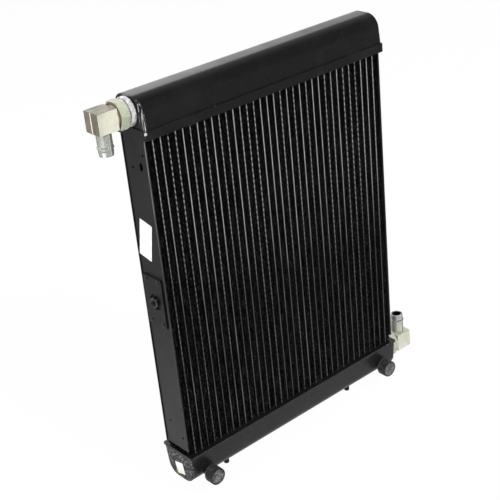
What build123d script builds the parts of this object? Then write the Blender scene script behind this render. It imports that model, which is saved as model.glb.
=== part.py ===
"""Hydraulic oil cooler: a tube-and-fin core between two welded aluminium tanks.

Millimetres, +Z up.  X runs across the core, Y runs front to back (the front face looks along -Y)
and the origin is the centre of the flat underside of the bottom tank.
"""
from build123d import *
import math
import os

# ---------------------------------------------------------------- core
tube_count = 34              # flat oil tubes, side by side across the core
tube_thickness = 2.0         # outside, across the flat
tube_depth = 47.5            # outside, nose to nose, which is the depth of the core
tube_wall = 0.4
fin_height = 9.5             # air gap between two tubes, filled by one folded fin
core_height = 463.0          # between the faces of the two header plates
fin_recess = 0.9             # the fins stop this far behind the tube noses
fin_strip = 0.3              # fin metal, drawn thicker than the real 0.15 foil
fin_fold = 5.0               # height of one fold, drawn coarser than the real fin
fin_end_gap = 1.0            # bare tube between the last fold and the header plate
braze_gap = 0.05             # between brazed neighbours: fin to tube, tube to header slot
turbulator_strip = 0.25
turbulator_folds = 12

# ---------------------------------------------------------------- headers and side plates
side_plate_thickness = 1.5
side_lip_height = 1.2        # low lips along the front and back edges of each side plate
side_lip_thickness = 1.2
side_plate_gap = 7.0         # the side plates stop short of the bottom header, so the core can grow
header_thickness = 2.0
header_overhang = 2.6        # the header plate stands out past the side plates
header_half_depth = 31.8
bottom_header_flange = 3.5   # rim turned away from the core, which the tank sits in
top_header_flange = 12.0
header_flange_wall = 1.5
header_corner = 2.5          # outside corner radius, in plan
tube_stand_out = 2.0         # tube ends pass this far through the header plate
small_hole_radius = 1.75     # pilot holes in the side plates
upper_holes = ((-15.6, 22.5), (8.7, 43.0))   # offset from mid-depth, drop from the core's top end
lower_holes = ((8.0, 46.0), (-15.7, 26.7))   # offset from mid-depth, rise from its lower end
slot_hole_radius = 3.2       # lifting slot near the top of each side plate
slot_hole_length = 11.0
slot_hole_offset = -9.3
slot_hole_drop = 39.0

# ---------------------------------------------------------------- tanks
tank_wall = 2.0
tank_fit = 0.1               # tank sides to the header rim
cap_thickness = 2.5
cap_edge = 1.2               # rounded outer edge of an end cap
cap_fit = 0.2                # end cap to the header rim
bottom_tank_depth = 46.6     # from the header face down to the underside
bottom_front_radius = 18.0
bottom_rear_radius = 19.0
bottom_front_taper = 6.0     # degrees
bottom_rear_taper = 8.0
top_tank_depth = 51.8        # from the header face up to the crown
top_front_radius = 20.0
top_rear_radius = 17.0
top_taper = 6.0

# ---------------------------------------------------------------- ports and elbows
inlet_boss_radius = 19.0
outlet_boss_radius = 17.0
port_boss_length = 7.6
port_spigot_radius = 14.8    # turned step that locates the boss in its end cap
port_spigot_length = 4.5
port_thread_radius = 13.5    # 1 1/16 in straight thread, drawn plain
port_seat_depth = 2.4        # recess in the boss that holds the sealing ring
port_seat_radius = 15.6
inlet_height = 32.0          # inlet axis above the core's top end
outlet_height = 21.6         # outlet axis above the underside of the bottom tank
thread_gap = 0.06            # stem to port bore, lock nut and washer
seal_section = 1.9           # sealing ring, thickness across the section
seal_gap = 0.02              # ring to the floor of its recess
washer_thickness = 1.5
washer_radius = 16.6
lock_nut_flats = 35.0        # 1 3/8 in spanner size
lock_nut_thickness = 12.7
nut_chamfer = 1.6
nut_turn = -4.0              # degrees, how the lock nuts stand
elbow_neck = 2.8             # bare stem between lock nut and block
stem_reach = 16.0            # stem length behind the lock nut's front face plane
elbow_length = 28.6          # square bar block, along X
elbow_depth = 28.6           # along Y
elbow_height = 27.6          # along Z
elbow_ridge = 0.7            # forging line down the middle of the block's outer end
elbow_edge = 0.9
barb_radius = 9.6            # neck that the hose slides over
barb_length = 30.0
bead_radius = 10.4
bead_from_tip = 9.5
bead_width = 3.0
barb_tip_radius = 9.0
elbow_bore = 7.0
stem_bore = 8.5

# ---------------------------------------------------------------- bracket plate on the left side
bracket_depth = 38.0         # along Y
bracket_height = 71.0
bracket_thickness = 3.0
bracket_corner = 2.0
bracket_rise = 235.5         # centre above the core's lower end
bracket_window = 11.0        # radius of the round opening in the middle
bracket_window_offset = -2.0
rivet_margin_y = 7.0         # rivet centre to the plate's edge
rivet_margin_z = 5.25
rivet_radius = 2.0
rivet_head_radius = 3.6
rivet_head_height = 1.4
stud_radius = 4.0            # M8 stud in the middle of the opening
stud_length = 10.5           # from the side plate's outer face
stud_chamfer = 0.8
side_nut_flats = 13.0
side_nut_thickness = 6.5
thread_play = 0.05           # between a drawn-plain thread and its nut

# ---------------------------------------------------------------- front bumpers and bottom studs
bumper_radius = 12.5
bumper_length = 14.5         # rubber alone
bumper_plate = 1.5           # bonded steel disc behind the rubber
bumper_inset = 26.65         # axis from the end cap's inner side
bumper_height_left = 8.0     # axis above the underside of the tank
bumper_height_right = 13.5
bumper_edge = 1.2
insert_radius = 5.0          # steel core bonded into the rubber
insert_length = 8.0
insert_play = 0.05
weld_stud_radius = 3.0       # M6 stud welded to the tank
weld_stud_length = 8.0
bumper_pad_radius = 7.0      # round pad that carries the stud, cut to the tank's curved front
bottom_stud_radius = 4.0     # M8 studs welded under the tank
bottom_stud_length = 18.5
bottom_stud_spacing = 246.0
bottom_stud_chamfer = 1.0

# ---------------------------------------------------------------- blank labels
label_thickness = 0.2
side_label_width = 24.5
side_label_height = 53.5
side_label_tilt = 12.0       # degrees
side_label_offset = 4.2      # centre from mid-depth
side_label_rise = 321.5      # centre above the core's lower end
cap_label_width = 17.0
cap_label_height = 18.0
cap_label_tilt = -12.0
cap_label_offset = 0.5
cap_label_drop = 30.5        # centre below the core's lower end

# ---------------------------------------------------------------- places worked out from the sizes
tube_pitch = tube_thickness + fin_height
core_width = tube_count * tube_pitch + fin_height
half_depth = tube_depth / 2
core_low = bottom_tank_depth
core_high = core_low + core_height
side_inner = core_width / 2
side_outer = side_inner + side_plate_thickness
header_half_width = side_outer + header_overhang
rim_inner_x = header_half_width - header_flange_wall
tank_half_depth = header_half_depth - header_flange_wall - tank_fit
cap_outer = rim_inner_x - cap_fit
trough_half_length = cap_outer - cap_thickness
bumper_x = trough_half_length - bumper_inset
bottom_tank_top = core_low - header_thickness
top_tank_base = core_high + header_thickness
inlet_z = core_high + inlet_height
outlet_z = outlet_height
boss_face = cap_outer + port_boss_length
washer_face = boss_face + washer_thickness
nut_face = washer_face + lock_nut_thickness
block_inner = nut_face + elbow_neck
block_outer = block_inner + elbow_length
barb_axis = (block_inner + block_outer) / 2
stem_end = nut_face - lock_nut_thickness - stem_reach + washer_thickness
stem_radius = port_thread_radius - thread_gap
bracket_z = core_low + bracket_rise
rivet_y = bracket_depth / 2 - rivet_margin_y
rivet_z = bracket_height / 2 - rivet_margin_z
bumper_base = -tank_half_depth
left, right = -1, 1

os.makedirs("parts", exist_ok=True)


# ---------------------------------------------------------------- helpers
def save(name, shape):
    """Write one sub-part to its own STEP file."""
    shape.label = name
    export_step(shape, f"parts/{name}.step")


def group(solids):
    """Loose solids kept together in one sub-part."""
    return Compound(children=[one for shape in solids for one in shape.solids()])


def mirrored(shape, side):
    """The right-hand shape as built, or its mirror image for the left."""
    return shape if side == right else mirror(shape, about=Plane.YZ)


def rod_x(radius, start, end, y=0.0, z=0.0):
    """Round bar along X from start to end."""
    bar = extrude(Plane.YZ * Circle(radius), end - start)
    return Pos(start, y, z) * bar


def rod_y(radius, start, end, x=0.0, z=0.0):
    """Round bar along Y from start to end."""
    bar = extrude(Plane.XZ * Circle(radius), start - end)
    return Pos(x, start, z) * bar


def rod_z(radius, start, end, x=0.0, y=0.0):
    """Round bar along Z from start to end."""
    return Pos(x, y, start) * extrude(Circle(radius), end - start)


def hex_bar_x(flats, start, end, y=0.0, z=0.0, turn=0.0, corner_cut=nut_chamfer):
    """Hexagon bar along X with its outer corners turned off at both ends."""
    outline = RegularPolygon(flats / 2, 6, major_radius=False, rotation=turn)
    bar = extrude(Plane.YZ * outline, end - start)
    corner = flats / math.sqrt(3)
    length = end - start
    turned = Plane.XY * Polyline(
        (0, 0), (0, corner - 1.6 * corner_cut), (corner_cut, corner), (length - corner_cut, corner),
        (length, corner - 1.6 * corner_cut),
        (length, 0), close=True)
    return Pos(start, y, z) * (bar & revolve(make_face(turned), Axis.X))


def folded_strip(folds, rise, reach, strip):
    """Zigzag section in its own plane: folds along Y, crests at plus and minus reach in X."""
    lean = math.atan2(rise, 2 * reach)
    half = strip / (2 * math.sin(lean))
    crest = reach - half
    start = -folds * rise / 2
    points = [(crest if k % 2 else -crest, start + k * rise) for k in range(folds + 1)]
    outline = [(x + half, y) for x, y in points] + [(x - half, y) for x, y in reversed(points)]
    return make_face(Polyline(*outline, close=True))


def tank_section(half_width, depth, front_taper, rear_taper, front_radius, rear_radius):
    """Closed tank outline in the YZ plane, open side on Y = 0 level and crown towards +Z."""
    front = -(half_width - depth * math.tan(math.radians(front_taper)))
    rear = half_width - depth * math.tan(math.radians(rear_taper))
    outline = make_face(Polyline(
        (-half_width, 0), (front, depth), (rear, depth), (half_width, 0), close=True))
    crown = outline.vertices().group_by(Axis.Y)[-1].sort_by(Axis.X)
    outline = fillet(crown[0], front_radius)
    crown = outline.vertices().filter_by(lambda v: abs(v.Y - depth) < 1e-6).sort_by(Axis.X)
    return fillet(crown[-1], rear_radius)


# ---------------------------------------------------------------- tubes, fins and turbulators
def oil_tube():
    """One flat tube with round noses, standing on the bottom header."""
    low = core_low - header_thickness - tube_stand_out
    length = core_height + 2 * (header_thickness + tube_stand_out)
    outside = SlotOverall(tube_depth, tube_thickness, rotation=90)
    inside = SlotOverall(tube_depth - 2 * tube_wall, tube_thickness - 2 * tube_wall, rotation=90)
    return Pos(0, 0, low) * extrude(outside - inside, length)


def air_fin():
    """One folded fin bank, standing between two tubes."""
    span = core_height - 2 * fin_end_gap
    folds = max(2, round(span / fin_fold))
    strip = folded_strip(folds, span / folds, fin_height / 2 - braze_gap, fin_strip)
    depth = tube_depth - 2 * fin_recess
    bank = extrude(Plane.XZ * strip, depth / 2, both=True)
    return Pos(0, 0, core_low + core_height / 2) * bank


def turbulator():
    """Folded strip that stirs the oil inside one tube."""
    reach = tube_thickness / 2 - tube_wall - braze_gap
    run = tube_depth - 2 * tube_thickness
    strip = folded_strip(turbulator_folds, run / turbulator_folds, reach, turbulator_strip)
    return Pos(0, 0, core_low) * extrude(strip, core_height)


tube_places = [tube_pitch * (k - (tube_count - 1) / 2) for k in range(tube_count)]
fin_places = [tube_pitch * (k - tube_count / 2) for k in range(tube_count + 1)]
tube, fin, stirrer = oil_tube(), air_fin(), turbulator()
save("oil_tubes", group(Pos(x, 0, 0) * tube for x in tube_places))
save("air_fins", group(Pos(x, 0, 0) * fin for x in fin_places))
save("turbulators", group(Pos(x, 0, 0) * stirrer for x in tube_places))


# ---------------------------------------------------------------- header plates
def header_plate(flange):
    """Slotted plate with a rim turned away from the core; its core face is at Z = 0."""
    outside = RectangleRounded(2 * header_half_width, 2 * header_half_depth, header_corner)
    inside = RectangleRounded(
        2 * rim_inner_x, 2 * (header_half_depth - header_flange_wall),
        header_corner - header_flange_wall)
    slot = SlotOverall(tube_depth + 2 * braze_gap, tube_thickness + 2 * braze_gap, rotation=90)
    slots = Sketch(children=[Pos(x, 0) * slot for x in tube_places])
    plate = extrude(outside - slots, header_thickness)
    rim = extrude(outside - inside, flange)
    return plate + rim


save("top_header", Pos(0, 0, core_high) * header_plate(top_header_flange))
save("bottom_header", Pos(0, 0, core_low) * mirror(header_plate(bottom_header_flange), about=Plane.XY))


# ---------------------------------------------------------------- side plates and the bracket plate
def side_plate(riveted):
    """Right-hand side plate with return lips, pilot holes and a lifting slot."""
    length = core_height - side_plate_gap
    middle = core_high - length / 2
    plate = Pos((side_inner + side_outer) / 2, 0, middle) * Box(
        side_plate_thickness, tube_depth, length)
    for face in (-1, 1):
        plate += Pos(
            side_outer + side_lip_height / 2,
            face * (half_depth - side_lip_thickness / 2),
            middle) * Box(side_lip_height, side_lip_thickness, length)
    places = [(y, core_high - drop) for y, drop in upper_holes]
    places += [(y, core_low + rise) for y, rise in lower_holes]
    for y, z in places:
        plate -= rod_x(small_hole_radius, side_inner, side_outer, y, z)
    slot = SlotOverall(slot_hole_length, 2 * slot_hole_radius, rotation=90)
    cut = extrude(Plane.YZ * slot, side_plate_thickness)
    plate -= Pos(side_inner, slot_hole_offset, core_high - slot_hole_drop) * cut
    if riveted:
        for y, z in rivet_places:
            plate -= rod_x(rivet_radius + thread_play, side_inner, side_outer, y, z)
    return plate


def bracket_plate():
    """Plate with a round opening, riveted on the outside of the side plate."""
    outline = RectangleRounded(bracket_depth, bracket_height, bracket_corner)
    outline -= Pos(bracket_window_offset, 0) * Circle(bracket_window)
    plate = Pos(side_outer, 0, bracket_z) * extrude(Plane.YZ * outline, bracket_thickness)
    for y, z in rivet_places:
        plate -= rod_x(rivet_radius + thread_play, side_outer, side_outer + bracket_thickness, y, z)
    return plate


def rivet(y, z):
    """Domed rivet, closed flush on the inside of the side plate."""
    seat = side_outer + bracket_thickness
    crown = seat + rivet_head_height
    ball = (rivet_head_radius ** 2 + rivet_head_height ** 2) / (2 * rivet_head_height)
    lean = math.asin(rivet_head_radius / ball) / 2
    outline = Polyline(
        (crown, 0), (side_inner, 0), (side_inner, rivet_radius), (seat, rivet_radius),
        (seat, rivet_head_radius))
    outline += ThreePointArc(
        (seat, rivet_head_radius),
        (crown - ball + ball * math.cos(lean), ball * math.sin(lean)), (crown, 0))
    return Pos(0, y, z) * revolve(make_face(outline), Axis.X)


def side_nut():
    """Hexagon nut in the bracket plate's opening."""
    end = side_outer + side_nut_thickness
    nut = hex_bar_x(side_nut_flats, side_outer, end, bracket_window_offset, bracket_z,
                    turn=12, corner_cut=0.8)
    return nut - rod_x(stud_radius + thread_play, side_outer, end, bracket_window_offset, bracket_z)


def side_stud():
    """Stud welded to the side plate, with a chamfered free end."""
    stud = rod_x(stud_radius, side_outer, side_outer + stud_length, bracket_window_offset, bracket_z)
    return chamfer(stud.edges().filter_by(GeomType.CIRCLE).sort_by(Axis.X)[-1], stud_chamfer)


rivet_places = [(y * rivet_y, bracket_z + z * rivet_z) for y in (-1, 1) for z in (-1, 1)]
save("side_plate_right", side_plate(False))
save("side_plate_left", mirrored(side_plate(True), left))
save("bracket_plate", mirrored(bracket_plate(), left))
save("bracket_rivets", group(mirrored(rivet(y, z), left) for y, z in rivet_places))
save("bracket_nut", mirrored(side_nut(), left))
save("bracket_stud", mirrored(side_stud(), left))


# ---------------------------------------------------------------- tanks
def tank_outline(which, inset=0.0):
    """Section of the bottom or top tank, shrunk by inset, placed in the YZ plane."""
    if which == "bottom":
        depth = bottom_tank_top - inset
        section = tank_section(
            tank_half_depth - inset, depth, bottom_front_taper, bottom_rear_taper,
            bottom_front_radius - inset, bottom_rear_radius - inset)
        section = Pos(0, bottom_tank_top) * mirror(section, about=Plane.XZ)
    else:
        depth = top_tank_depth - header_thickness - inset
        section = tank_section(
            tank_half_depth - inset, depth, top_taper, top_taper,
            top_front_radius - inset, top_rear_radius - inset)
        section = Pos(0, top_tank_base) * section
    return Plane.YZ * section


def trough(which):
    """Pressed tank shell, open towards the core and at both ends."""
    section = tank_outline(which) - tank_outline(which, tank_wall)
    return extrude(section, trough_half_length, both=True)


def end_cap(which, side):
    """Flat cap over one end of a tank, with a port hole where a boss goes in."""
    cap = Pos(trough_half_length, 0, 0) * extrude(tank_outline(which), cap_thickness)
    outer = cap.faces().sort_by(Axis.X)[-1]
    base = core_low - header_thickness if which == "bottom" else top_tank_base
    rim = outer.edges().filter_by(lambda e: abs(e.center().Z - base) > 0.01)
    cap = fillet(rim, cap_edge)
    if (which, side) == ("top", left):
        cap -= rod_x(port_spigot_radius, trough_half_length, cap_outer, 0, inlet_z)
    if (which, side) == ("bottom", right):
        cap -= rod_x(port_spigot_radius, trough_half_length, cap_outer, 0, outlet_z)
    return mirrored(cap, side)


for which in ("bottom", "top"):
    save(f"{which}_tank", trough(which))
    for side, word in ((left, "left"), (right, "right")):
        save(f"{which}_cap_{word}", end_cap(which, side))


# ---------------------------------------------------------------- ports, seals, lock nuts and elbows
def port_boss(radius, z):
    """Weld-in boss with a plain bore and a recess for the sealing ring."""
    boss = rod_x(radius, cap_outer, boss_face, 0, z)
    boss = chamfer(boss.edges().filter_by(GeomType.CIRCLE).sort_by(Axis.X)[-1], 1.0)
    boss += rod_x(port_spigot_radius, cap_outer - port_spigot_length, cap_outer, 0, z)
    boss -= rod_x(port_thread_radius, cap_outer - port_spigot_length, boss_face, 0, z)
    return boss - rod_x(port_seat_radius, boss_face - port_seat_depth, boss_face, 0, z)


def seal_ring(z):
    """Rubber ring squeezed into the boss recess."""
    ring = Torus((stem_radius + port_seat_radius) / 2, seal_section / 2, rotation=(0, 90, 0))
    return Pos(boss_face - port_seat_depth + seal_section / 2 + seal_gap, 0, z) * ring


def backing_washer(z):
    """Flat washer between the boss face and the lock nut."""
    ring = rod_x(washer_radius, boss_face, washer_face, 0, z)
    return ring - rod_x(port_thread_radius, boss_face, washer_face, 0, z)


def lock_nut(z):
    """Thin hexagon nut that locks the elbow's angle."""
    nut = hex_bar_x(lock_nut_flats, washer_face, nut_face, 0, z, turn=nut_turn)
    return nut - rod_x(port_thread_radius, washer_face, nut_face, 0, z)


def elbow(z, up):
    """Square-bar elbow with a stem towards the tank and a hose barb along plus or minus Z."""
    half_x, half_y = elbow_length / 2, elbow_depth / 2
    plan = make_face(Polyline(
        (-half_x, -half_y), (half_x - elbow_ridge, -half_y), (half_x, 0),
        (half_x - elbow_ridge, half_y), (-half_x, half_y), close=True))
    block = extrude(plan, elbow_height / 2, both=True)
    ends = block.faces().sort_by(Axis.Z)
    block = fillet(ends[0].edges() + ends[-1].edges(), elbow_edge)
    root, tip = elbow_height / 2, elbow_height / 2 + barb_length
    bead = tip - bead_from_tip
    profile = make_face(Polyline(
        (0, 0), (barb_radius, 0), (barb_radius, bead - bead_width), (bead_radius, bead - bead_width / 2),
        (bead_radius, bead), (barb_radius - 0.5, bead + 1.2), (barb_radius, bead + 3.0),
        (barb_tip_radius, tip), (0, tip), close=True))
    barb = revolve(Plane.XZ * profile, Axis.Z)
    body = Pos(barb_axis, 0, 0) * (block + barb)
    body += rod_x(stem_radius, stem_end, block_inner + 1)
    body -= Pos(barb_axis, 0, 0) * rod_z(elbow_bore, -elbow_bore, tip)
    body -= rod_x(stem_bore, stem_end, barb_axis)
    if not up:
        body = mirror(body, about=Plane.XY)
    return Pos(0, 0, z) * body


for word, side, radius, z, up in (
        ("inlet", left, inlet_boss_radius, inlet_z, False),
        ("outlet", right, outlet_boss_radius, outlet_z, True)):
    save(f"{word}_port_boss", mirrored(port_boss(radius, z), side))
    save(f"{word}_seal_ring", mirrored(seal_ring(z), side))
    save(f"{word}_washer", mirrored(backing_washer(z), side))
    save(f"{word}_lock_nut", mirrored(lock_nut(z), side))
    save(f"{word}_elbow", mirrored(elbow(z, up), side))


# ---------------------------------------------------------------- bumpers and bottom studs
def bumper(x, z):
    """Round rubber buffer in front of the bottom tank, hollow behind for its steel core."""
    base = bumper_base - bumper_plate
    rubber = rod_y(bumper_radius, base - bumper_length, base, x, z)
    rubber = fillet(rubber.edges().filter_by(GeomType.CIRCLE), bumper_edge)
    pocket = insert_length + insert_play
    return rubber - rod_y(insert_radius + insert_play, base - pocket, base, x, z)


def bumper_insert(x, z):
    """Steel disc and threaded core bonded to the rubber."""
    base = bumper_base - bumper_plate
    insert = rod_y(bumper_radius - bumper_edge, base, bumper_base, x, z)
    insert += rod_y(insert_radius, base - insert_length, base, x, z)
    reach = weld_stud_length + insert_play
    return insert - rod_y(weld_stud_radius + thread_play, bumper_base - reach, bumper_base, x, z)


def weld_stud(x, z):
    """Threaded stud on a round pad welded to the tank's curved front."""
    filled = extrude(tank_outline("bottom"), trough_half_length, both=True)
    pad = rod_y(bumper_pad_radius, bumper_base, 0, x, z) - filled
    return pad + rod_y(weld_stud_radius, bumper_base - weld_stud_length, bumper_base, x, z)


def bottom_stud(x):
    """Threaded stud welded under the bottom tank."""
    stud = rod_z(bottom_stud_radius, -bottom_stud_length, 0, x)
    return chamfer(stud.edges().filter_by(GeomType.CIRCLE).sort_by(Axis.Z)[0], bottom_stud_chamfer)


for side, word, height in ((left, "left", bumper_height_left), (right, "right", bumper_height_right)):
    save(f"bumper_{word}", bumper(side * bumper_x, height))
    save(f"bumper_insert_{word}", bumper_insert(side * bumper_x, height))
    save(f"bumper_weld_stud_{word}", weld_stud(side * bumper_x, height))
    save(f"bottom_stud_{word}", bottom_stud(side * bottom_stud_spacing / 2))


# ---------------------------------------------------------------- blank labels on the left
def label(width, height, tilt, face_x, y, z):
    """Blank self-adhesive label on a face that looks along -X."""
    sheet = extrude(Plane.YZ * RectangleRounded(width, height, 1.0), -label_thickness)
    return Pos(face_x, y, z) * (Rot(tilt, 0, 0) * sheet)


save("side_label", label(side_label_width, side_label_height, side_label_tilt,
                         -side_outer, side_label_offset, core_low + side_label_rise))
save("cap_label", label(cap_label_width, cap_label_height, cap_label_tilt,
                        -cap_outer, cap_label_offset, core_low - cap_label_drop))
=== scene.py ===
import math

import bmesh
import bpy
from mathutils import Euler, Matrix, Vector, noise


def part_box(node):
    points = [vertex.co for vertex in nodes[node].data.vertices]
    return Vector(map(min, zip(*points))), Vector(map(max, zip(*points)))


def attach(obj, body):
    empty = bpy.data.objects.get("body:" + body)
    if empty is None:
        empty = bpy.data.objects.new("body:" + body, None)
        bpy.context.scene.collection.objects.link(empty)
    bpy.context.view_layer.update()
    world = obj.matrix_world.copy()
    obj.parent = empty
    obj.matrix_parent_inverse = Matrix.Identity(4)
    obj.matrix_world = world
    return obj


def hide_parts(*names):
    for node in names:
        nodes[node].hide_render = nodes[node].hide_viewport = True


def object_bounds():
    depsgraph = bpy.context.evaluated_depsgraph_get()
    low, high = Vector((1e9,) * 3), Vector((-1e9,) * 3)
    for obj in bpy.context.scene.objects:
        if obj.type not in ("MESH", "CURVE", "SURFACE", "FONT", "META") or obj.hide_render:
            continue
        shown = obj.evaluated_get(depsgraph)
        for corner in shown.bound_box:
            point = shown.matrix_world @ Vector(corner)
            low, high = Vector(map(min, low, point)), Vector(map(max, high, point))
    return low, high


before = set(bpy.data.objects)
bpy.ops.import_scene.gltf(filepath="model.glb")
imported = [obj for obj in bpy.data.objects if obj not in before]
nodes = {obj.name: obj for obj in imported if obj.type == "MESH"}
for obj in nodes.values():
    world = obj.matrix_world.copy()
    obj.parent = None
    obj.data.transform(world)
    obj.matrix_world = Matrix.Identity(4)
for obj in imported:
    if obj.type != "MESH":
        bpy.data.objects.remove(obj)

cadLow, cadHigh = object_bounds()
scene = bpy.context.scene
hair = 1e-6                           # metres; nearer than this is the same place
halfway = (0.30, 0.31)                # heights between the outlet's fitting and the inlet's


# camera

cameraLook = {
    "place": (-0.9319, -1.1159, 1.0010),
    "turn": (63.562, 0.0, -38.634),   # degrees: tilt, then heading
    "roll": -5.92,                    # degrees about the line of sight
    "lens": 84.4,                     # mm, on a 36 mm sensor
    "clip": (0.05, 60.0),
}


def addCamera(look):
    data = bpy.data.cameras.new("camera")
    data.lens = look["lens"]
    data.sensor_width = 36
    data.clip_start, data.clip_end = look["clip"]
    camera = bpy.data.objects.new("camera", data)
    scene.collection.objects.link(camera)
    heading = Euler([math.radians(angle) for angle in look["turn"]]).to_matrix()
    roll = Matrix.Rotation(math.radians(look["roll"]), 3, "Z")
    camera.rotation_euler = (heading @ roll).to_euler()
    camera.location = look["place"]
    scene.camera = camera


addCamera(cameraLook)
print("camera placed")


# shader helper

class Value:
    # a socket in a node tree; sums and products of these add Math nodes
    def __init__(self, tree, socket=None):
        self.tree = tree
        self.socket = socket

    def add(self, kind, inputs=None, out=0, **settings):
        # any node: its settings first, then what its sockets get; returns one of its outputs
        node = self.tree.nodes.new(kind)
        for name, setting in settings.items():
            setattr(node, name, setting)
        for key, value in (inputs or {}).items():
            if isinstance(value, Value):
                self.tree.links.new(value.socket, node.inputs[key])
            else:
                node.inputs[key].default_value = value
        return Value(self.tree, node.outputs[out])

    def maths(self, operation, *others):
        inputs = {0: self}
        for index, other in enumerate(others):
            inputs[index + 1] = other
        return self.add("ShaderNodeMath", inputs, operation=operation)

    def __add__(self, other):
        return self.maths("ADD", other)

    def __radd__(self, other):
        return self.maths("ADD", other)

    def __mul__(self, other):
        return self.maths("MULTIPLY", other)

    def __rmul__(self, other):
        return self.maths("MULTIPLY", other)

    def __sub__(self, other):
        return self.maths("SUBTRACT", other)

    def __rsub__(self, other):
        return self.add("ShaderNodeMath", {0: other, 1: self}, operation="SUBTRACT")

    def clamped(self):
        return self.maths("MAXIMUM", 0.0).maths("MINIMUM", 1.0)

    def between(self, low, high, outLow=0.0, outHigh=1.0):
        # smooth step from outLow to outHigh while this value goes from low to high
        return self.add(
            "ShaderNodeMapRange",
            {"Value": self, "From Min": low, "From Max": high, "To Min": outLow, "To Max": outHigh},
            interpolation_type="SMOOTHSTEP")

    def blend(self, first, second):
        # colour that goes from first to second as this value goes from 0 to 1
        ready = [c if isinstance(c, Value) else (*c, 1.0) for c in (first, second)]
        # sockets 0, 6 and 7 are the colour mix's factor and its two colours
        return self.add("ShaderNodeMix", {0: self, 6: ready[0], 7: ready[1]}, out=2, data_type="RGBA")


def startMaterial(name, constants):
    # a new material, a Value to add nodes with, and its shader with constants on its sockets
    material = bpy.data.materials.new(name)
    material.use_nodes = True
    tree = material.node_tree
    shader = tree.nodes["Principled BSDF"]
    for key, value in constants.items():
        shader.inputs[key].default_value = value
    return material, Value(tree), shader


def objectPlace(start, scale=(1.0, 1.0, 1.0)):
    coords = start.add("ShaderNodeTexCoord", out=3)   # Object
    return start.add("ShaderNodeMapping", {"Vector": coords, "Scale": scale})


def threeWays(start, place):
    # the x, y and z of a place, metres
    return [start.add("ShaderNodeSeparateXYZ", {"Vector": place}, out=k) for k in range(3)]


def grain(start, place, size, detail=3.0, rough=0.55):
    # soft noise whose blotches are about size metres wide, 0 to 1
    return start.add(
        "ShaderNodeTexNoise",
        {"Vector": place, "Scale": 1.0 / size, "Detail": detail, "Roughness": rough}, out=0)


def wearAndHighlightShare(start):
    # how much a face is rubbed, and how much painted highlight it gets, as softened and buildBumper set it
    return start.add("ShaderNodeAttribute", out=2, attribute_name="edge")


def raised(start, height, strength=0.5):
    # a bump from a height in metres
    return start.add("ShaderNodeBump", {"Height": height, "Strength": strength, "Distance": 1.0})


def plug(start, shader, **links):
    # links values to the shader's sockets; Base_Color stands for Base Color
    for name, value in links.items():
        start.tree.links.new(value.socket, shader.inputs[name.replace("_", " ")])


# materials

paintLook = {
    "colour": (0.0066, 0.0065, 0.0068),
    "dust": (0.070, 0.068, 0.066),
    "metal": (0.75, 0.74, 0.72),
    "roughness": 0.26,
    "peel": 0.00004,                  # height of the orange peel, metres
    "peelSize": 0.0016,
    "dustiness": 0.15,
    "dustSize": (0.05, 0.0022),       # clouds of dust, and the specks in them
    "lift": 0.0,                      # even share of dust
    "wear": 0.3,                      # bare metal on the rounded edges
    "wearSize": (0.03, 0.003),        # worn stretches, and the chips in them
    "edgeHighlight": 0.0,                 # painted highlight: an even lightening of them
    "lumps": 0.0,                     # height of weld spatter and runs, metres
    "lumpSize": 0.0036,
    "lumpDust": 400,                  # dust that they hold, for each metre of height
}


def makePaint(name, look, paintedHighlightAt=None):
    # sprayed satin paint: orange peel, faint dust, bare metal where edges are rubbed, and painted
    # highlights on edges and marks
    material, start, shader = startMaterial(name, {"IOR": 1.48})
    place = objectPlace(start)
    cloudSize, speckSize = look["dustSize"]
    cloud = grain(start, place, cloudSize)
    speck = grain(start, place, speckSize, 2.0)
    peel = grain(start, place, look["peelSize"], 1.0)
    dust = cloud.between(0.45, 0.75) * speck.between(0.35, 0.8) * look["dustiness"] + look["lift"]
    stretchSize, chipSize = look["wearSize"]
    chips = grain(start, place, chipSize, 4.0).between(0.60, 0.66)
    stretches = grain(start, place, stretchSize).between(0.45, 0.62)
    # worn chips on the edges, plus the painted edge highlight and any painted highlight marks passed in
    wornAndHighlighted = wearAndHighlightShare(start) * (chips * stretches * look["wear"] + look["edgeHighlight"])
    if paintedHighlightAt:
        wornAndHighlighted = wornAndHighlighted + paintedHighlightAt(start, place)
    wornAndHighlighted = wornAndHighlighted.clamped()
    height = peel * look["peel"]
    if look["lumps"]:
        lump = grain(start, place, look["lumpSize"], 3.0)
        height = height + lump * look["lumps"]
        dust = dust + lump.between(0.50, 0.56) * look["lumps"] * look["lumpDust"]
    colour = wornAndHighlighted.blend(dust.clamped().blend(look["colour"], look["dust"]), look["metal"])
    base = look["roughness"]
    rough = cloud.between(0.3, 0.7, base - 0.04, base + 0.06) + dust * 0.3
    plug(start, shader, Base_Color=colour, Roughness=rough.clamped(),
         Normal=raised(start, height, 0.6), Metallic=wornAndHighlighted * 0.6)
    return material


seamGlintValues = {
    "end": 0.2012,                    # from the middle of the part to the corner
    "reach": (0.0006, 0.0028),        # from the corner, full and then faded out
    "low": 0.5190, "high": 0.5540,
    "front": -0.012,
    "streakSize": 0.0012, "gapSize": 0.006,
}


def cornerSeamGlints(start, place):
    # painted highlight: upright streaks of bare-metal colour down the inlet tank's front left corner,
    # standing in for glints on its weld seam
    look = seamGlintValues
    x, y, z = threeWays(start, place)
    near = (x + look["end"]).maths("ABSOLUTE").between(*look["reach"], 1.0, 0.0)
    span = (z.between(look["low"] - 0.002, look["low"] + 0.004)
            * z.between(look["high"], look["high"] + 0.006, 1.0, 0.0))
    upright = objectPlace(start, (1.0, 0.5, 0.03))
    streak = grain(start, upright, look["streakSize"], 1.0).between(0.55, 0.61)
    broken = grain(start, place, look["gapSize"], 3.0).between(0.38, 0.50)
    return near * y.between(look["front"] - 0.003, look["front"], 1.0, 0.0) * span * streak * broken


cornerGlintValues = {"inset": (0.0003, 0.0003, 0.0028), "radius": (0.0030, 0.0042), "ragged": 0.003}


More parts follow.
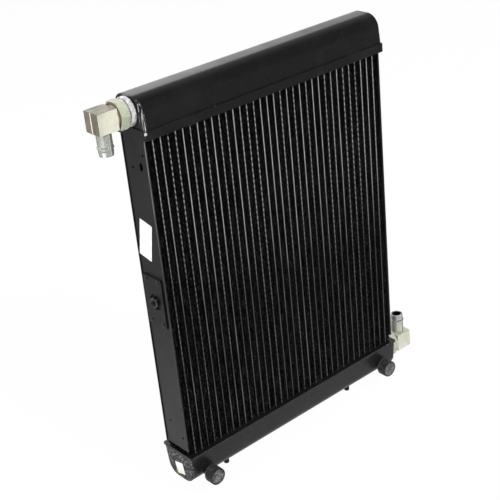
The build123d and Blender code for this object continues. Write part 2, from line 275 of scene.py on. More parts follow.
def cornerGlint(start, place):
    # painted highlight: a bare-metal spot on the upper front left corner of the header flange, standing in
    # for the glint of its rounded corner
    look = cornerGlintValues
    low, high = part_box("top_header")
    inX, inY, inZ = look["inset"]
    corner = (low.x + inX, low.y + inY, high.z - inZ)
    away = start.add("ShaderNodeVectorMath", {0: place, 1: corner}, out=1, operation="DISTANCE")
    ragged = away + grain(start, place, 0.002, 3.0) * look["ragged"]
    return ragged.between(*look["radius"], 1.0, 0.0)


lipHighlightValues = {"width": (0.0013, 0.0017), "fadeFrom": 0.25, "low": 0.035, "high": 0.15}


def plateLipHighlight(start, place):
    # painted highlight along the front and back edges of the left side plate, brightest towards the top
    look = lipHighlightValues
    x, y, z = threeWays(start, place)
    low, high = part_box("side_plate_left")
    reach = max(-low.y, high.y)
    narrow, wide = look["width"]
    lip = (y.maths("ABSOLUTE").between(reach - 0.0004, reach - 0.0001)
           * x.between(low.x + narrow, low.x + wide, 1.0, 0.0))
    fade = z.between(low.z + look["fadeFrom"], high.z, look["low"], look["high"])
    uneven = grain(start, objectPlace(start, (1.0, 1.0, 0.3)), 0.004).between(0.2, 0.6, 0.5, 1.0)
    return lip * fade * uneven


tubeLook = {
    "bright": (0.31, 0.31, 0.31),
    "dull": (0.040, 0.040, 0.041),
    "paint": (0.0020, 0.0020, 0.0020),
    "nose": 0.00055,                  # depth of the rubbed nose from the core's face
    "rise": (0.22, 0.43),             # height over which the noses brighten
    "lean": 0.10,                     # how much sooner they do towards the outlet end
    "touch": 0.0078,                  # pitch of the painted fin shadows on the noses
    "pitch": 0.0115,                  # from tube to tube
    "halfWidth": 0.001,
    "beads": 0.00012,                 # height of the braze beads
    "outer": (0.140, 0.190),          # where the outer tubes start, which get the most painted fin shadow
    "marks": (0.30, 0.65, 0.18),      # shares of painted fin shadow for outer tubes, for every few tubes and for all
}


def makeTubeMetal(name, look):
    # paint worn thin on the tube noses, brighter towards the top, with painted fin shadows in dashes
    material, start, shader = startMaterial(name, {"IOR": 1.5, "Specular IOR Level": 0.3})
    low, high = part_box("oil_tubes")
    place = objectPlace(start)
    x, y, z = threeWays(start, place)
    rise = (z + x * look["lean"]).between(*look["rise"])
    patches = grain(start, objectPlace(start, (1.0, 1.0, 0.10)), 0.006, 3.0)
    own = grain(start, objectPlace(start, (1.0, 0.0, 0.02)), 0.011, 0.0)
    beads = grain(start, objectPlace(start, (0.15, 0.15, 1.0)), 0.0021, 1.0)
    runs = grain(start, objectPlace(start, (1.0, 0.3, 0.06)), 0.007, 1.0)
    uneven = patches.between(0.3, 0.7) * 0.25 + own.between(0.35, 0.65) * 0.15
    shine = (rise * 0.8 + uneven - 0.12).clamped()
    colour = shine.blend(look["dull"], look["bright"])
    outer = x.maths("ABSOLUTE").between(*look["outer"])
    across = ((x * (1 / look["pitch"])).maths("FRACT") - 0.5) * (look["pitch"] / look["halfWidth"])
    tubes = grain(start, objectPlace(start, (1.0, 0.0, 0.004)), look["pitch"], 0.0).between(0.44, 0.54)
    wave = z * (math.tau / look["touch"]) + across * 0.7 + runs * 9.0 + own * 30.0
    outerShare, tubeShare, evenShare = look["marks"]
    # painted fin shadows: dashes where the noses show the dark paint
    broken = wave.maths("SINE").between(-0.4, 0.6) * (outer * outerShare + tubes * tubeShare + evenShare)
    half = max(-low.y, high.y)
    nose = y.maths("ABSOLUTE").between(half - look["nose"], half - look["nose"] * 0.3)
    shown = nose * (1 - broken.clamped())
    colour = shown.blend(look["paint"], colour)
    plug(start, shader, Base_Color=colour, Roughness=beads.between(0.2, 0.8, 0.42, 0.6),
         Normal=raised(start, beads * look["beads"], 0.6), Metallic=shine * shown * 0.3)
    return material


finLook = {
    "colour": (0.0010, 0.0010, 0.0010),
    "tip": (0.10, 0.10, 0.10),
    "roughness": 0.62,
    "speckSize": 0.0015,
}


def makeFinFoil(name, look):
    # black dip coat on foil, greyer in small random spots
    material, start, shader = startMaterial(name, {"IOR": 1.4, "Specular IOR Level": 0.05})
    place = objectPlace(start)
    speck = grain(start, place, look["speckSize"], 1.0)
    colour = speck.between(0.60, 0.72).blend(look["colour"], look["tip"])
    rough = speck.between(0.3, 0.7, look["roughness"] - 0.08, look["roughness"] + 0.12)
    plug(start, shader, Base_Color=colour, Roughness=rough, Normal=raised(start, speck * 0.0001))
    return material


zincLook = {
    "pale": (0.80, 0.78, 0.67),
    "straw": (0.72, 0.69, 0.54),
    "green": (0.56, 0.60, 0.46),
    "brown": (0.16, 0.12, 0.09),
    "light": (0.95, 0.94, 0.88),      # painted highlight on the rounded edges, and on the line down a fitting's end
    "aged": (0.42, 0.43, 0.39),       # painted shade: greyer, darker plate on the lower fitting
    "roughness": 0.34,
    "metal": 0.45,
    "patina": 0.7,
    "cloudSize": 0.012, "driftSize": 0.02, "speckSize": 0.0011, "brushSize": 0.0006,
}


def makeZinc(name, look, fitting=None):
    # yellow-passivated zinc plate: straw and greenish clouds, dull specks, painted highlights on the edges
    material, start, shader = startMaterial(name, {"IOR": 1.5})
    place = objectPlace(start)
    cloud = grain(start, place, look["cloudSize"], 2.0)
    drift = grain(start, objectPlace(start, (1.0, 1.0, 0.5)), look["driftSize"], 2.0)
    speck = grain(start, place, look["speckSize"], 2.0)
    drawn = grain(start, objectPlace(start, (1.0, 1.0, 0.06)), look["speckSize"], 2.0)
    brushed = grain(start, objectPlace(start, (0.15, 1.0, 1.0)), look["brushSize"], 2.0)
    edge = wearAndHighlightShare(start)
    colour = cloud.between(0.35, 0.65).blend(look["pale"], look["straw"])
    colour = (drift.between(0.42, 0.68) * look["patina"]).blend(colour, look["green"])
    colour = (speck.between(0.56, 0.72) * 0.5 * look["patina"]).blend(colour, look["brown"])
    colour = (drawn.between(0.55, 0.72) * 0.28 * look["patina"]).blend(colour, look["brown"])
    # painted highlight on the rounded edges
    colour = (edge * 0.8).clamped().blend(colour, look["light"])
    metal = cloud.between(0.2, 0.8, look["metal"] + 0.08, look["metal"] - 0.08)
    rough = cloud.between(0.3, 0.7, look["roughness"] - 0.06, look["roughness"] + 0.08) + speck * 0.08
    if fitting:
        blunt, seam = bluntEnd(start, place, fitting)
        # painted shade: the plain outer end darkened to a cloudy brown
        endShade = blunt * (1 - seam) * cloud.between(0.3, 0.7, 0.80, 0.95) * (1 - edge)
        colour = endShade.blend(colour, look["brown"])
        # painted highlight down the middle of the plain end
        colour = (blunt * seam).blend(colour, look["light"])
        # painted shade: the lower fitting is blended towards a darker grey
        colour = threeWays(start, place)[2].between(*halfway, 0.3, 0.0).blend(colour, look["aged"])
    if fitting and "barb" in fitting:
        barb = fitting["barb"]
        # painted shade in streaks on the top of the inlet block
        colour = (shadedRoof(start, place, barb) * (1 - edge)).blend(colour, barb["roofShade"])
        neck, hole, grime = barbMarks(start, place, barb, speck)
        colour = (neck * 0.93).blend(colour, barb["plate"])
        # painted shade, specked with grime on one side, down two sides of the barb
        colour = (grime * 0.92).blend(colour, barb["grime"])
        # painted shade inside the barb's bore
        colour = hole.blend(colour, barb["wet"])
        metal = metal + neck * (0.86 - look["metal"])
        metal = metal * (1 - hole) * (1 - blunt * 0.3) * (1 - grime * 0.8)
        rough = rough - neck * 0.2
    plug(start, shader, Base_Color=colour, Roughness=rough.clamped(), Metallic=metal.clamped(),
         Normal=raised(start, brushed * 0.000012 + drawn * 0.00002))
    return material


barbValues = {
    "axis": 0.24155,                  # hose barb from the middle of the part
    "radius": 0.0096,                 # of the neck
    "bore": 0.0070,                   # radius of the bore, painted dark as shade
    "inletNeck": 0.5278,              # heights where barb and block meet
    "outletNeck": 0.0354,
    "inletTop": 0.5552,
    "shadedWay": (0.78, -0.62),        # direction across the barb, as the camera sees it, from its shaded side
    "plate": (0.88, 0.91, 0.85),
    "grime": (0.030, 0.040, 0.030),
    "roofShade": (0.085, 0.064, 0.042),
    "wet": (0.004, 0.004, 0.004),
}
elbowValues = {
    "endFace": 0.2550,                # where the blunt outer end of the block starts
    "seam": 0.0011,                   # half width of the painted highlight line down that end
    "barb": barbValues,
}
nutValues = {"endFace": 0.2243, "seam": 0.0}


def bluntEnd(start, place, values):
    # a fitting's plain outer end, and the painted highlight line down it
    x, y = threeWays(start, place)[:2]
    blunt = x.maths("ABSOLUTE").between(values["endFace"] - 0.0001, values["endFace"] + 0.0001)
    seam = y.maths("ABSOLUTE").between(values["seam"] * 0.6, values["seam"] + 0.0001, 1.0, 0.0)
    return blunt, seam


def shadedRoof(start, place, values):
    # painted shade: brown streaks darkening the top of the inlet block
    z = threeWays(start, place)[2]
    roof = z.between(values["inletTop"] - 0.0003, values["inletTop"] - 0.0001)
    streaks = grain(start, objectPlace(start, (0.12, 1.0, 1.0)), 0.0018, 2.0)
    return roof * streaks.between(0.30, 0.68, 0.62, 0.86)


def barbMarks(start, place, values, speck):
    # the hose barbs, their bores in painted shade, and painted shade with specks of grime down two sides
    # of them
    x, y, z = threeWays(start, place)
    upper = z.between(*halfway)
    neck = (upper * z.between(values["inletNeck"] - 0.0002, values["inletNeck"], 1.0, 0.0)
            + (1 - upper) * z.between(values["outletNeck"], values["outletNeck"] + 0.0002))
    off = x.maths("ABSOLUTE") - values["axis"]
    away = (off * off + y * y).maths("SQRT")
    hole = neck * away.between(values["bore"] + 0.0001, values["bore"] + 0.0004, 1.0, 0.0)
    wayX, wayY = values["shadedWay"]
    across = (off * x.maths("SIGN") * wayX + y * wayY) * (1 / values["radius"])
    near = (across + upper * 0.35).between(-0.45, -0.05, 1.0, 0.0) * speck.between(0.36, 0.60, 1.0, 0.35)
    far = across.between(0.62, 0.80)
    return neck, hole, neck * (near + far).clamped()


bareLook = {
    "pale": (0.88, 0.87, 0.87),
    "grey": (0.42, 0.38, 0.39),
    "roughness": 0.40,
    "cloudSize": 0.006,
    "ringSize": 0.0005, "rings": 0.00003,   # width and height of the turning marks
}


def makeBareMetal(name, look):
    # turned or welded bare aluminium with fine rings and a little oxide
    material, start, shader = startMaterial(name, {"IOR": 1.5})
    cloud = grain(start, objectPlace(start), look["cloudSize"])
    rings = grain(start, objectPlace(start, (1.0, 0.05, 0.05)), look["ringSize"], 1.0)
    colour = cloud.between(0.35, 0.7).blend(look["pale"], look["grey"])
    rough = cloud.between(0.3, 0.7, look["roughness"] - 0.06, look["roughness"] + 0.1)
    plug(start, shader, Base_Color=colour, Roughness=rough, Metallic=cloud.between(0.2, 0.8, 0.55, 0.4),
         Normal=raised(start, rings * look["rings"]))
    return material


rubberLook = {
    "colour": (0.013, 0.013, 0.014),
    "bloom": (0.15, 0.15, 0.15),
    "cloudSize": 0.005, "blotchSize": 0.0036, "speckSize": 0.0016,
}


def makeRubber(name, look):
    # moulded rubber with blotches of grey bloom, strongest on the front face
    material, start, shader = startMaterial(name, {"IOR": 1.45})
    place = objectPlace(start)
    cloud = grain(start, place, look["cloudSize"])
    speck = grain(start, place, look["speckSize"], 3.0)
    blotch = grain(start, place, look["blotchSize"], 2.0).between(0.42, 0.56)
    scuffs = wearAndHighlightShare(start) * (blotch * 0.7 + speck.between(0.40, 0.64) * 0.4)
    bloom = (cloud.between(0.45, 0.70) * 0.16 + scuffs).clamped()
    plug(start, shader, Base_Color=bloom.blend(look["colour"], look["bloom"]),
         Roughness=speck.between(0.2, 0.8, 0.42, 0.62),
         Normal=raised(start, speck * 0.0001 + cloud * 0.0001, 0.6))
    return material


filmLook = {
    "colour": (0.93, 0.93, 0.93),
    "shade": (0.80, 0.80, 0.79),
    "aged": (0.66, 0.66, 0.48),
    "ageing": 0.0,                    # share of the aged colour
    "agedBelow": (0.014, 0.026),      # heights over which it fades out
    "cloudSize": 0.012, "fibreSize": 0.0012,
}


def makeFilm(name, look):
    # plain white label film, a little grubby; an aged one turns cream towards its lower edge
    material, start, shader = startMaterial(name, {"IOR": 1.45})
    place = objectPlace(start)
    cloud = grain(start, place, look["cloudSize"])
    fibre = grain(start, place, look["fibreSize"], 2.0)
    colour = (cloud.between(0.52, 0.8) * 0.6).blend(look["colour"], look["shade"])
    if look["ageing"]:
        fade = threeWays(start, place)[2] + cloud * 0.008
        colour = (fade.between(*look["agedBelow"], 1.0, 0.0) * look["ageing"]).blend(colour, look["aged"])
    plug(start, shader, Base_Color=colour, Roughness=fibre.between(0.2, 0.8, 0.35, 0.5),
         Normal=raised(start, cloud * 0.0003 + fibre * 0.00002, 0.6))
    return material


# the tank and end paints carry the painted glints down the inlet corner
tankPaint = makePaint("tankPaint", paintLook, cornerSeamGlints)
endPaint = makePaint(
    "endPaint", dict(paintLook, roughness=0.30, lumps=0.0002, dustiness=0.1), cornerSeamGlints)
# the header paint carries the painted glint on its corner
headerPaint = makePaint("headerPaint", paintLook, cornerGlint)
# the bottom header's rim edges get a painted highlight
rimPaint = makePaint("rimPaint", dict(paintLook, edgeHighlight=0.05))
# the bottom caps' paler dust is partly real dust and partly painted light standing in for the floor's
# reflection; their edges also get a painted highlight
capPaint = makePaint("capPaint", dict(
    paintLook, dust=(0.16, 0.155, 0.158), roughness=0.36, lumps=0.0020, wear=0.9, edgeHighlight=0.05))
# the side paint carries the painted highlight along the left plate's edges
sidePaint = makePaint("sidePaint", dict(paintLook, roughness=0.34, dustiness=0.25, lift=0.03), plateLipHighlight)
platePaint = makePaint("platePaint", dict(paintLook, roughness=0.42, dustiness=0.3, lift=0.02))
weldPaint = makePaint("weldPaint", dict(paintLook, roughness=0.28, lumps=0.0003))
tubeMetal = makeTubeMetal("tubeMetal", tubeLook)
finFoil = makeFinFoil("finFoil", finLook)
zincPlate = makeZinc("zincPlate", zincLook, elbowValues)
nutPlate = makeZinc("nutPlate", dict(
    zincLook, pale=(0.50, 0.50, 0.42), straw=(0.43, 0.45, 0.33), green=(0.34, 0.38, 0.28),
    patina=1.0, metal=0.28, roughness=0.42), nutValues)
clearZinc = makeZinc("clearZinc", dict(
    zincLook, pale=(0.50, 0.50, 0.50), straw=(0.42, 0.42, 0.41), green=(0.36, 0.36, 0.36), metal=0.75))
# dark plate whose rounded edges get a pale painted highlight
dullPlate = makeZinc("dullPlate", dict(
    zincLook, pale=(0.035, 0.035, 0.035), straw=(0.02, 0.02, 0.02), green=(0.012, 0.012, 0.012),
    light=(0.80, 0.80, 0.78), roughness=0.3))
bareMetal = makeBareMetal("bareMetal", bareLook)
blackRubber = makeRubber("blackRubber", rubberLook)
labelFilm = makeFilm("labelFilm", filmLook)
agedFilm = makeFilm("agedFilm", dict(filmLook, ageing=0.8))
print("materials made")


# mesh helpers

def pieceName(node):
    # top_cap_left becomes topCapLeft
    first, *rest = node.split("_")
    return first + "".join(word.capitalize() for word in rest)


def addPiece(name, bm, body, material, replaces=(), sharp=40.0):
    # makes the bmesh an object that rides on a body; edges above sharp degrees stay crisp
    mesh = bpy.data.meshes.new(name)
    bm.to_mesh(mesh)
    bm.free()
    mesh.materials.append(material)
    mesh.shade_smooth()
    mesh.set_sharp_from_angle(angle=math.radians(sharp))
    piece = bpy.data.objects.new(name, mesh)
    scene.collection.objects.link(piece)
    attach(piece, body)
    if replaces:
        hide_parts(*replaces)
    return piece


def bevelEdges(bm, edges, width, segments):
    return bmesh.ops.bevel(
        bm, geom=edges, offset=width, offset_type="OFFSET", segments=segments, profile=0.5,
        affect="EDGES", material=-1, clamp_overlap=True)


softValues = {
    "segments": 2,
    "merge": 0.000002,                # vertices nearer than this are one
    "flat": 0.6,                      # degrees; flatter edges than this are dissolved
    "sharp": 50.0,
}


def softened(node, width, material, body="cooler", angle=30.0, keep=None):
    # a copy of a CAD node with its edges above angle degrees rounded over, and marked there for wear and
    # painted highlights
    bm = bmesh.new()
    bm.from_mesh(nodes[node].data)
    wornAndLit = bm.faces.layers.float.new("edge")
    bmesh.ops.remove_doubles(bm, verts=bm.verts, dist=softValues["merge"])
    bmesh.ops.dissolve_limit(
        bm, angle_limit=math.radians(softValues["flat"]), verts=bm.verts, edges=bm.edges,
        use_dissolve_boundaries=False)
    limit = math.radians(angle)
    edges = [
        e for e in bm.edges
        if len(e.link_faces) == 2 and e.calc_face_angle(0.0) > limit and (keep is None or keep(e))]
    rounded = bevelEdges(bm, edges, width, softValues["segments"])
    for face in rounded["faces"]:
        face[wornAndLit] = 1.0
    piece = addPiece(
        pieceName(node), bm, body, material, replaces=(node,), sharp=softValues["sharp"])
    evened = piece.modifiers.new("evened", "WEIGHTED_NORMAL")
    evened.keep_sharp = True
    evened.weight = 100


def cutRing(bm, height, width, depth):
    # a groove round a bar that lies along Z, by moving the middle one of three new rings inwards
    for level in (height - width / 2, height, height + width / 2):
        bmesh.ops.bisect_plane(
            bm, geom=bm.verts[:] + bm.edges[:] + bm.faces[:], dist=1e-7,
            plane_co=(0, 0, level), plane_no=(0, 0, 1))
    for vert in bm.verts:
        if abs(vert.co.z - height) < hair:
            across = vert.co.to_2d()
            vert.co.xy = across * (1 - depth / across.length)


def threadedBar(node, axis, values):
    # a round stud along X (axis 0) or Z (axis 2), chamfered and threaded at its low end
    low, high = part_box(node)
    length = high[axis] - low[axis]
    radius = (high[(axis + 1) % 3] - low[(axis + 1) % 3]) / 2
    bm = bmesh.new()
    bmesh.ops.create_cone(
        bm, cap_ends=True, segments=values["segments"], radius1=radius, radius2=radius, depth=length)
    rim = [e for e in bm.edges if all(v.co.z > length / 2 - hair for v in e.verts)]
    bevelEdges(bm, rim, values["chamfer"], 1)
    place = length / 2 - values["chamfer"] - values["pitch"] * values["firstAt"]
    while place > length / 2 - values["threaded"]:
        cutRing(bm, place, values["pitch"] * values["grooveShare"], values["depth"])
        place -= values["pitch"]
    turn = {0: Matrix.Rotation(math.radians(90), 3, "Y"), 2: Matrix.Identity(3)}[axis]
    turn = turn @ Matrix.Rotation(math.radians(180), 3, "X")
    bmesh.ops.transform(bm, matrix=turn.to_4x4(), verts=bm.verts)
    bmesh.ops.translate(bm, verts=bm.verts, vec=(low + high) / 2)
    addPiece(pieceName(node), bm, "cooler", dullPlate, replaces=(node,))


def giveMaterial(node, material):
    data = nodes[node].data
    data.materials.clear()
    data.materials.append(material)


# core

finValues = {
    "banks": 35,
    "folds": 208,                     # folds in one bank, top to bottom
    "reach": 0.00465,                 # half the room between two tubes, less a little air
    "foil": 0.00016,
    "wander": 0.00022,                # how far a fold strays from its even place
    "wanderStep": (7.31, 2.0),        # steps in the noise from fold to fold, and from middle to face
    "recess": 0.0002,                 # of the folds behind the core's face
}


def buildFins(values):
    # one bank is a pleated strip of foil, and the rest are copies of it
    low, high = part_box("air_fins")
    reach = values["reach"]
    pitch = (high.x - low.x - 2 * reach) / (values["banks"] - 1)
    rows = values["folds"] * 2
    bm = bmesh.new()
    bmesh.ops.create_grid(bm, x_segments=1, y_segments=rows, size=1.0)
    step = (high.z - low.z) / rows
    foldStep, depthStep = values["wanderStep"]
    for vert in bm.verts:
        row = round((vert.co.y + 1) / 2 * rows)
        side = 1 if row % 2 else -1
        stray = noise.noise(Vector((row * foldStep, vert.co.x * depthStep, 0.0))) * values["wander"]
        depth = vert.co.x * ((high.y - low.y) / 2 - values["recess"])
        height = min(max(low.z + row * step + stray, low.z), high.z)
        vert.co = Vector((low.x + reach + side * reach, (low.y + high.y) / 2 + depth, height))
    bmesh.ops.recalc_face_normals(bm, faces=bm.faces)
    bmesh.ops.solidify(bm, geom=bm.faces[:], thickness=values["foil"])
    bmesh.ops.recalc_face_normals(bm, faces=bm.faces)
    fins = addPiece("coreFins", bm, "cooler", finFoil, replaces=("air_fins",), sharp=20.0)
    array = fins.modifiers.new("banks", "ARRAY")
    array.use_relative_offset = False
    array.use_constant_offset = True
    array.constant_offset_displace = (pitch, 0, 0)
    array.count = values["banks"]


buildFins(finValues)
giveMaterial("oil_tubes", tubeMetal)
giveMaterial("turbulators", bareMetal)
print("core built")


# tanks

topTankValues = {
    "frontTaper": 6.0, "rearTaper": 6.0,        # degrees
    "frontRadius": 0.020, "rearRadius": 0.017,
    "segments": 16,
    "up": 1,                                    # the way its crown points
}
bottomTankValues = {
    "frontTaper": 6.0, "rearTaper": 8.0,
    "frontRadius": 0.018, "rearRadius": 0.019,
    "segments": 16,
    "up": -1,
}
tankDents = {
    "depth": 0.00025, "length": 0.12,
    "slices": 48,
    "wall": 0.002,
    "crownFrom": 0.4,                           # height above the middle, in shares of the tank's
}


def tankOutline(bm, values, box):
    # the section at the tank's left end: four corners, the two at the crown rounded over
    low, high = box
    mouth, crown = (low.z, high.z) if values["up"] > 0 else (high.z, low.z)
    front = math.tan(math.radians(values["frontTaper"])) * (high.z - low.z)
    rear = math.tan(math.radians(values["rearTaper"])) * (high.z - low.z)
    corners = [(low.y, mouth), (low.y + front, crown), (high.y - rear, crown), (high.y, mouth)]
    verts = [bm.verts.new((low.x, y, z)) for y, z in corners]
    for first, second in zip(verts, verts[1:]):
        bm.edges.new((first, second))
    for vert, radius in ((verts[1], values["frontRadius"]), (verts[2], values["rearRadius"])):
        bmesh.ops.bevel(
            bm, geom=[vert], offset=cornerOffset(vert, radius), offset_type="OFFSET",
            segments=values["segments"], profile=0.5, affect="VERTICES", material=-1)


def cornerOffset(vert, radius):
    # distance from the corner to where an arc of this radius starts
    first, second = [(e.other_vert(vert).co - vert.co).normalized() for e in vert.link_edges]
    return radius / math.tan(first.angle(second) / 2)


def buildTank(name, node, values, dents):
    # the section drawn out along the tank in slices, dented a little and given its wall
    box = low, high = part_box(node)
    length = high.x - low.x
    up = values["up"]
    bm = bmesh.new()
    tankOutline(bm, values, box)
    for index in range(dents["slices"]):
        reached = length * index / dents["slices"]
        edge = [e for e in bm.edges if all(abs(v.co.x - low.x - reached) < hair for v in e.verts)]
        grown = bmesh.ops.extrude_edge_only(bm, edges=edge)
        fresh = [g for g in grown["geom"] if isinstance(g, bmesh.types.BMVert)]
        bmesh.ops.translate(bm, verts=fresh, vec=(length / dents["slices"], 0, 0))
    bmesh.ops.recalc_face_normals(bm, faces=bm.faces)
    if sum(f.normal.z * f.calc_area() for f in bm.faces) * up < 0:
        bmesh.ops.reverse_faces(bm, faces=bm.faces)
    middle = (low.z + high.z) / 2
    for vert in bm.verts:
        far = min(vert.co.x - low.x, high.x - vert.co.x) / dents["length"]
        inward = noise.noise(vert.co * (1 / dents["length"])) * 0.5 + 0.5
        push = dents["depth"] * min(far, 1.0) * inward
        vert.co.y -= math.copysign(push, vert.co.y)
        if (vert.co.z - middle) * up > (high.z - low.z) * dents["crownFrom"]:
            vert.co.z -= push * up
    bmesh.ops.solidify(bm, geom=bm.faces[:], thickness=dents["wall"])
    addPiece(name, bm, "cooler", tankPaint, replaces=(node,))


capValues = {"rounding": 0.0005}
headerValues = {"topRounding": 0.00025, "bottomRounding": 0.0005, "rim": 0.0018}


def onRim(node, reach):
    # a test for the edges that lie within reach of a header's outline
    low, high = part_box(node)

    def near(edge):
        return all(min(v.co.x - low.x, high.x - v.co.x, v.co.y - low.y, high.y - v.co.y) < reach
                   for v in edge.verts)
    return near


buildTank("topTankShell", "top_tank", topTankValues, tankDents)
buildTank("bottomTankShell", "bottom_tank", bottomTankValues, tankDents)
for word, paint in (("top", endPaint), ("bottom", capPaint)):
    for side in ("left", "right"):
        softened(word + "_cap_" + side, capValues["rounding"], paint)
for word, paint in (("top", headerPaint), ("bottom", rimPaint)):
    node = word + "_header"
    softened(node, headerValues[word + "Rounding"], paint,
             keep=onRim(node, headerValues["rim"]))
print("tanks built")


# side plates and the bracket

sideValues = {"plate": 0.0003, "bracket": 0.0004, "rivets": 0.0003, "nut": 0.0004}   # roundings
threadValues = {
    "segments": 32,
    "chamfer": 0.0009,
    "pitch": 0.00125, "depth": 0.0006,
    "threaded": 0.0105,               # length of the thread
    "grooveShare": 0.8, "firstAt": 0.6,     # in pitches: a groove's width, and where the first one is
}
bracketStudValues = dict(threadValues, threaded=0.004)

for side in ("left", "right"):
    softened("side_plate_" + side, sideValues["plate"], sidePaint)
softened("bracket_plate", sideValues["bracket"], platePaint)
softened("bracket_rivets", sideValues["rivets"], weldPaint, angle=40)
softened("bracket_nut", sideValues["nut"], dullPlate)
threadedBar("bracket_stud", 0, bracketStudValues)
giveMaterial("side_label", labelFilm)
giveMaterial("cap_label", agedFilm)
print("side plates built")


# ports and elbows

portValues = {"boss": 0.0004, "nut": 0.0005, "elbow": 0.0006}   # roundings
beadValues = {
    "radius": 0.0012, "sides": 10, "steps": 120,
    "standOff": 0.0003,               # of the bead's middle from the cap's face
    "lift": 0.3,                      # and from the boss, as a share of the bead's radius
    "ripples": 30, "ripple": 0.0002,
    "wobble": 1.5, "wobbleScale": 300,
}


def addWeldRing(node, side, values):
    # ripple weld round a port boss, where it meets the tank's end cap
    low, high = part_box(node)
    centre = (low + high) / 2
    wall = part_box("top_cap_left" if side < 0 else "bottom_cap_right")
    face = wall[0].x if side < 0 else wall[1].x
    reach = (high.z - low.z) / 2 + values["radius"] * values["lift"]
    bm = bmesh.new()
    bmesh.ops.create_circle(bm, segments=values["sides"], radius=values["radius"])
    bmesh.ops.rotate(bm, verts=bm.verts, matrix=Matrix.Rotation(math.radians(90), 3, "X"))
    bmesh.ops.translate(
        bm, verts=bm.verts, vec=(face + side * values["standOff"], centre.y, centre.z + reach))
    bmesh.ops.spin(
        bm, geom=bm.verts[:] + bm.edges[:], cent=(face, centre.y, centre.z), axis=(1, 0, 0),
        angle=math.tau, steps=values["steps"], use_merge=True)
    bmesh.ops.recalc_face_normals(bm, faces=bm.faces)
    for vert in bm.verts:
        spoke = Vector((0, vert.co.y - centre.y, vert.co.z - centre.z))
        turn = math.atan2(spoke.y, spoke.z)
        wobble = noise.noise(spoke * values["wobbleScale"]) * values["wobble"]
        swell = math.sin(turn * values["ripples"]) + wobble
        middle = Vector((face, centre.y, centre.z)) + spoke.normalized() * reach
        vert.co += (vert.co - middle).normalized() * swell * values["ripple"]
        vert.co.z = min(max(vert.co.z, wall[0].z), wall[1].z)   # the cap ends there
    addPiece(pieceName(node) + "Weld", bm, "cooler", weldPaint, sharp=60.0)


for word, side, body in (("inlet", -1, "inlet_elbow_body"), ("outlet", 1, "outlet_elbow_body")):
    softened(word + "_port_boss", portValues["boss"], bareMetal)
    softened(word + "_lock_nut", portValues["nut"], nutPlate, angle=20)
    softened(word + "_elbow", portValues["elbow"], zincPlate, body=body, angle=25)
    giveMaterial(word + "_washer", clearZinc)
    giveMaterial(word + "_seal_ring", blackRubber)
    addWeldRing(word + "_port_boss", side, beadValues)
print("ports built")


# bumpers and studs

bumperValues = {
    "segments": 64,
    "edge": 0.0012,                   # rounding of both ends
    "rim": 0.0012, "recess": 0.0005,  # raised rim round the front face
    "grooves": (-0.0035, 0.0002, 0.0038), "grooveWidth": 0.0011, "grooveDepth": 0.00035,
    "faceBloom": 0.85, "sideBloom": 0.12,
}


def buildBumper(node, values):
    # moulded buffer with a raised rim round its face and three shallow rings round its side
    low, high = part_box(node)
    length, radius = high.y - low.y, (high.x - low.x) / 2
    bm = bmesh.new()
    bmesh.ops.create_cone(
        bm, cap_ends=True, segments=values["segments"], radius1=radius, radius2=radius, depth=length)
    wornAndLit = bm.faces.layers.float.new("edge")
    rims = [e for e in bm.edges if abs(abs(e.verts[0].co.z + e.verts[1].co.z) - length) < hair]
    bevelEdges(bm, rims, values["edge"], 3)
    front = max(bm.faces, key=lambda f: f.calc_center_median().z)
    bmesh.ops.inset_region(bm, faces=[front], thickness=values["rim"], depth=-values["recess"])
    for place in values["grooves"]:
        cutRing(bm, place, values["grooveWidth"], values["grooveDepth"])
    for face in bm.faces:
        if len(face.verts) > 4:       # the round faces at the ends
            face[wornAndLit] = values["faceBloom"]
        elif abs(face.calc_center_median().z) < length / 2 - values["edge"]:
            face[wornAndLit] = values["sideBloom"]
    bmesh.ops.rotate(bm, verts=bm.verts, matrix=Matrix.Rotation(math.radians(90), 3, "X"))
    bmesh.ops.translate(bm, verts=bm.verts, vec=(low + high) / 2)
    addPiece(pieceName(node), bm, "cooler", blackRubber, replaces=(node,))


for side in ("left", "right"):
    buildBumper("bumper_" + side, bumperValues)
    giveMaterial("bumper_insert_" + side, clearZinc)
    giveMaterial("bumper_weld_stud_" + side, weldPaint)
    threadedBar("bottom_stud_" + side, 2, threadValues)
print("bumpers built")


# stage and light

stageLook = {
    "floor": (0.86, 0.86, 0.86), "mark": (0.84, 0.84, 0.84), "markSize": 0.4,
    "floorSize": 40.0, "floorDrop": 0.002,
    # how bright the floor looks in a reflection: between two distances, at the first and the second
    "glow": (0.25, 0.80, 0.72, 0.33),       # from the middle of the part
    "front": (-0.35, 0.20, 0.37, 1.0),      # share of that, from in front to behind
    "patchGlow": (0.25, 0.65, 1.0, 0.0),    # from the patch, added
    "patch": (-1.15, -0.35, 0.0),
    "shown": 0.96,                          # how far the floor is plain white to the camera
}


def rayKinds(start):
    # 1 for rays from the camera, for mirrored rays and for rays that went through glass
    return [start.add("ShaderNodeLightPath", out=k) for k in (0, 3, 6)]


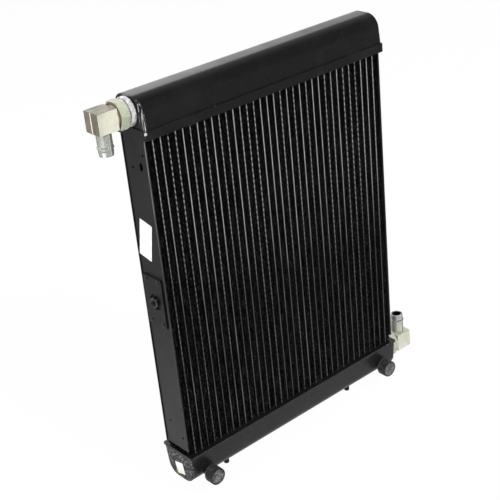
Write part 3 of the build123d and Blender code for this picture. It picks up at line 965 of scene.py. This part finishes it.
def buildFloor(look):
    # pale paper: white to the camera but for the part's shadow, and a brightness of its own in reflections
    bm = bmesh.new()
    bmesh.ops.create_grid(bm, x_segments=1, y_segments=1, size=look["floorSize"] / 2)
    bmesh.ops.translate(bm, verts=bm.verts, vec=(0, 0, cadLow.z - look["floorDrop"]))
    mesh = bpy.data.meshes.new("floor")
    bm.to_mesh(mesh)
    bm.free()
    floor = bpy.data.objects.new("floor", mesh)
    scene.collection.objects.link(floor)
    material, start, shader = startMaterial("floorPaper", {"Roughness": 0.9})
    place = objectPlace(start)
    marks = grain(start, place, look["markSize"])
    plug(start, shader, Base_Color=marks.blend(look["floor"], look["mark"]))
    seen, mirrored = rayKinds(start)[:2]
    away = start.add("ShaderNodeVectorMath", {0: place}, out=1, operation="LENGTH")
    aside = start.add("ShaderNodeVectorMath", {0: place, 1: look["patch"]}, out=1, operation="DISTANCE")
    front = threeWays(start, place)[1].between(*look["front"])
    glow = away.between(*look["glow"]) * front + aside.between(*look["patchGlow"])
    strength = seen + (1 - seen) * mirrored * glow
    paper = start.add("ShaderNodeEmission", {"Color": (1.0, 1.0, 1.0, 1.0), "Strength": strength})
    share = seen * look["shown"] + (1 - seen) * mirrored
    mixed = start.add("ShaderNodeMixShader", {0: share, 1: Value(start.tree, shader.outputs[0]), 2: paper})
    output = start.tree.nodes["Material Output"]
    start.tree.links.new(mixed.socket, output.inputs["Surface"])
    mesh.materials.append(material)


# how bright the room is in a reflection, by its direction from front (-1) to back (1)
worldLook = {
    "room": (-0.25, 0.35, 0.02, 0.36),
    "beyond": (0.50, 0.85, 0.0, 1.35),      # added
    "plain": 0.5,                           # for all other rays
}


def buildWorld(look):
    # plain white to the camera, for mirrored rays dark in front and bright behind, even for the rest
    world = bpy.data.worlds.new("studio")
    scene.world = world
    world.use_nodes = True
    start = Value(world.node_tree)
    background = world.node_tree.nodes["Background"]
    seen, mirrored, through = rayKinds(start)
    along = threeWays(start, start.add("ShaderNodeTexCoord", out=0))[1]
    room = along.between(*look["room"]) + along.between(*look["beyond"])
    shown = (seen + through).clamped()
    strength = shown + (1 - shown) * (mirrored * room + (1 - mirrored) * look["plain"])
    start.tree.links.new(strength.socket, background.inputs["Strength"])
    background.inputs["Color"].default_value = (1.0, 1.0, 1.0, 1.0)


lamps = {
    "key": {"place": (0.6, -2.4, 1.9), "aim": (0, 0, 0.3), "size": 1.4, "power": 112.0},
    "left": {"place": (-2.4, -0.2, 1.2), "aim": (0, 0, 0.3), "size": 1.2, "power": 34.0},
    "above": {"place": (0.2, 0.9, 2.6), "aim": (0, 0, 0.4), "size": 1.6, "power": 24.0},
}


def addLamps(chosen):
    # square area lamps that don't show in reflections
    for name, lamp in chosen.items():
        data = bpy.data.lights.new(name, "AREA")
        data.size = lamp["size"]
        data.energy = lamp["power"]
        light = bpy.data.objects.new(name, data)
        scene.collection.objects.link(light)
        light.location = lamp["place"]
        light.visible_glossy = False
        aim = Vector(lamp["aim"]) - Vector(lamp["place"])
        light.rotation_euler = aim.to_track_quat("-Z", "Y").to_euler()


buildFloor(stageLook)
buildWorld(worldLook)
addLamps(lamps)
scene.view_settings.view_transform = "Standard"
print("stage and lamps set")
